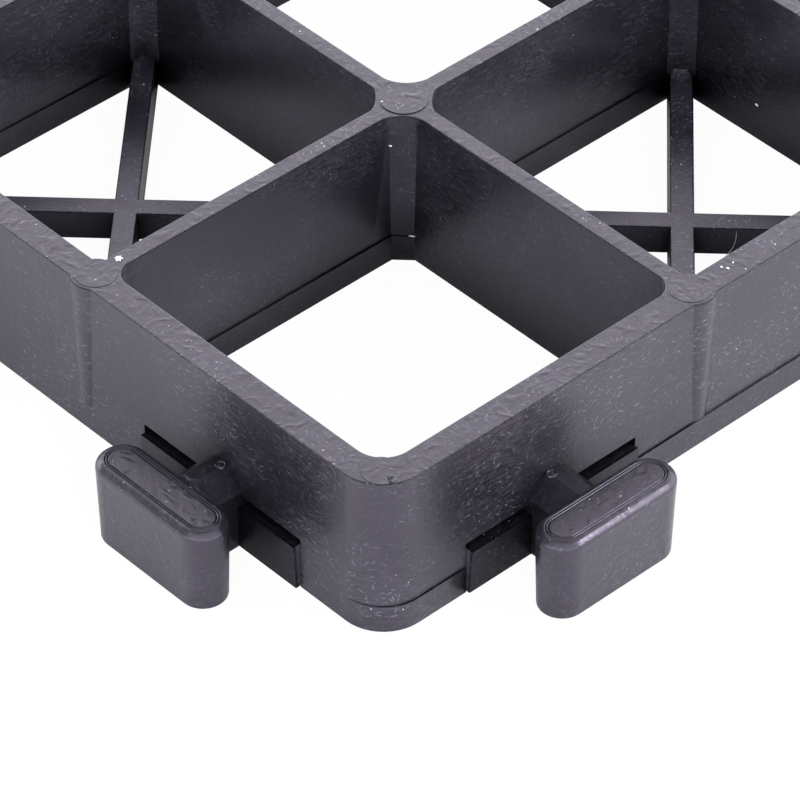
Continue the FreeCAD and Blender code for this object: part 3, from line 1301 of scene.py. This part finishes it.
@dataclass
class Studio:
    """The pale floor, the soft light and the camera."""

    lens: float = 231.25
    eye: tuple[float, float, float] = (-832.134, -883.815, 828.220)
    right: tuple[float, float, float] = (0.73347112, -0.67971887, 0.00154303)
    down: tuple[float, float, float] = (-0.44395651, -0.48078117, -0.7561429)
    ahead: tuple[float, float, float] = (0.51470646, 0.55392394, -0.65440471)
    floor_size: float = 16000.0
    floor_colour: str = "#ebebed"
    floor_lift: float = 0.96
    sky: tuple[float, float, float] = (4.3, 2.65, 0.7)
    sky_bend: float = 0.65
    shade_side: tuple[float, float, float] = (-0.65, 0.55, 0.52)
    shade_share: float = 0.75
    lean: float = 0.1
    flag_edges: tuple[float, float] = (0.8, 0.95)
    key_place: tuple[float, float, float] = (840.0, -1576.0, 1132.0)
    key_size: float = 180.0
    key_power: float = 15.0

    def build(self) -> None:
        """Set up all of it."""
        self.build_floor()
        self.build_sky()
        self.build_key()
        self.build_camera()

    def build_floor(self) -> None:
        """A plain pale floor under the panel, lifted towards white where it is seen directly."""
        material = bpy.data.materials.new("studio_floor")
        material.use_nodes = True
        tree = material.node_tree
        tree.nodes.clear()
        lit = add_node(tree, "ShaderNodeBsdfDiffuse", {"Color": linear(self.floor_colour)}).outputs[0]
        white = add_node(tree, "ShaderNodeEmission", {"Color": linear(WHITE)}).outputs[0]
        seen = add_node(tree, "ShaderNodeLightPath").outputs["Is Camera Ray"]
        lift = add_node(
            tree, "ShaderNodeMath", {0: seen, 1: self.floor_lift}, operation="MULTIPLY"
        ).outputs[0]
        surface = add_node(tree, "ShaderNodeMixShader", {0: lift, 1: lit, 2: white}).outputs[0]
        add_node(tree, "ShaderNodeOutputMaterial", {"Surface": surface})
        bm = bmesh.new()
        bmesh.ops.create_grid(bm, x_segments=1, y_segments=1, size=self.floor_size / 2 * MM)
        mesh = bpy.data.meshes.new("studio_floor")
        bm.to_mesh(mesh)
        bm.free()
        mesh.materials.append(material)
        floor = bpy.data.objects.new("studio_floor", mesh)
        bpy.context.scene.collection.objects.link(floor)

    def build_sky(self) -> None:
        """A pale tent of light: brightest at the horizon, darker overhead and shaded on one side."""
        scene = bpy.context.scene
        scene.view_settings.view_transform = "Standard"
        world = bpy.data.worlds.new("studio")
        world.use_nodes = True
        tree = world.node_tree
        tree.nodes.clear()
        way = add_node(tree, "ShaderNodeTexCoord").outputs["Generated"]
        height = add_node(tree, "ShaderNodeSeparateXYZ", {0: way}).outputs["Z"]
        low, middle, high = self.sky
        lower = add_node(
            tree, "ShaderNodeMapRange", {0: height, 1: 0.0, 2: self.sky_bend, 3: low, 4: middle}
        ).outputs[0]
        upper = add_node(
            tree, "ShaderNodeMapRange", {0: height, 1: self.sky_bend, 2: 1.0, 3: 0.0, 4: high - middle}
        ).outputs[0]
        even = add_node(tree, "ShaderNodeMath", {0: lower, 1: upper}, operation="ADD").outputs[0]
        aside = add_node(
            tree, "ShaderNodeVectorMath", {0: way, 1: self.shade_side}, operation="DOT_PRODUCT"
        ).outputs["Value"]
        flag = add_node(
            tree,
            "ShaderNodeMapRange",
            {0: aside, 1: self.flag_edges[0], 2: self.flag_edges[1], 3: 1.0, 4: 1 - self.shade_share},
            interpolation_type="SMOOTHSTEP",
        ).outputs[0]
        lean = add_node(
            tree, "ShaderNodeMapRange", {0: aside, 1: -1.0, 2: 1.0, 3: 1 - self.lean, 4: 1 + self.lean}
        ).outputs[0]
        leant = add_node(tree, "ShaderNodeMath", {0: even, 1: lean}, operation="MULTIPLY").outputs[0]
        strength = add_node(tree, "ShaderNodeMath", {0: leant, 1: flag}, operation="MULTIPLY").outputs[0]
        sky = add_node(tree, "ShaderNodeBackground", {"Color": linear(WHITE), "Strength": strength})
        add_node(tree, "ShaderNodeOutputWorld", {"Surface": sky.outputs[0]})
        scene.world = world

    def build_key(self) -> None:
        """A small soft lamp that lights up the rims."""
        data = bpy.data.lights.new("key", "AREA")
        data.shape = "RECTANGLE"
        data.size, data.size_y = self.key_size * MM, self.key_size * MM
        data.energy = self.key_power
        lamp = bpy.data.objects.new("key", data)
        lamp.location = Vector(self.key_place) * MM
        lamp.rotation_mode = "QUATERNION"
        lamp.rotation_quaternion = (-Vector(self.key_place)).to_track_quat("-Z", "Y")
        bpy.context.scene.collection.objects.link(lamp)

    def build_camera(self) -> None:
        """The camera where the picture was taken from, without depth of field."""
        data = bpy.data.cameras.new("camera")
        data.lens = self.lens
        data.sensor_width = 36.0
        data.clip_start, data.clip_end = 0.05, 60.0
        camera = bpy.data.objects.new("camera", data)
        axes = Matrix((Vector(self.right), -Vector(self.down), -Vector(self.ahead))).transposed()
        camera.matrix_world = Matrix.Translation(Vector(self.eye) * MM) @ axes.to_4x4()
        bpy.context.scene.collection.objects.link(camera)
        bpy.context.scene.camera = camera


def main() -> None:
    """Build every piece in order and report it."""
    logging.basicConfig(level=logging.INFO)
    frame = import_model()
    layout = Layout()
    plastic = RecycledPolyethylene().material()
    pale = PaleChips().material()
    pieces = (
        Panel(layout).build(frame["nodes"][GRID_NODE], plastic),
        EjectorMarks(layout).build(plastic),
        EdgeColumns(layout).build(plastic),
        CornerFlats(layout).build(plastic),
        GateMarks(layout).build(plastic),
        Flecks("pale_flecks", STUCK_FLECKS).build(pale),
        Flecks("corner_scar", CORNER_SCAR).build(plastic),
        Fibre().build(pale),
    )
    for piece in pieces:
        log.info("%s: %d faces", piece.name, len(piece.data.polygons))
    Studio().build()


if __name__ == "__main__":
    main()
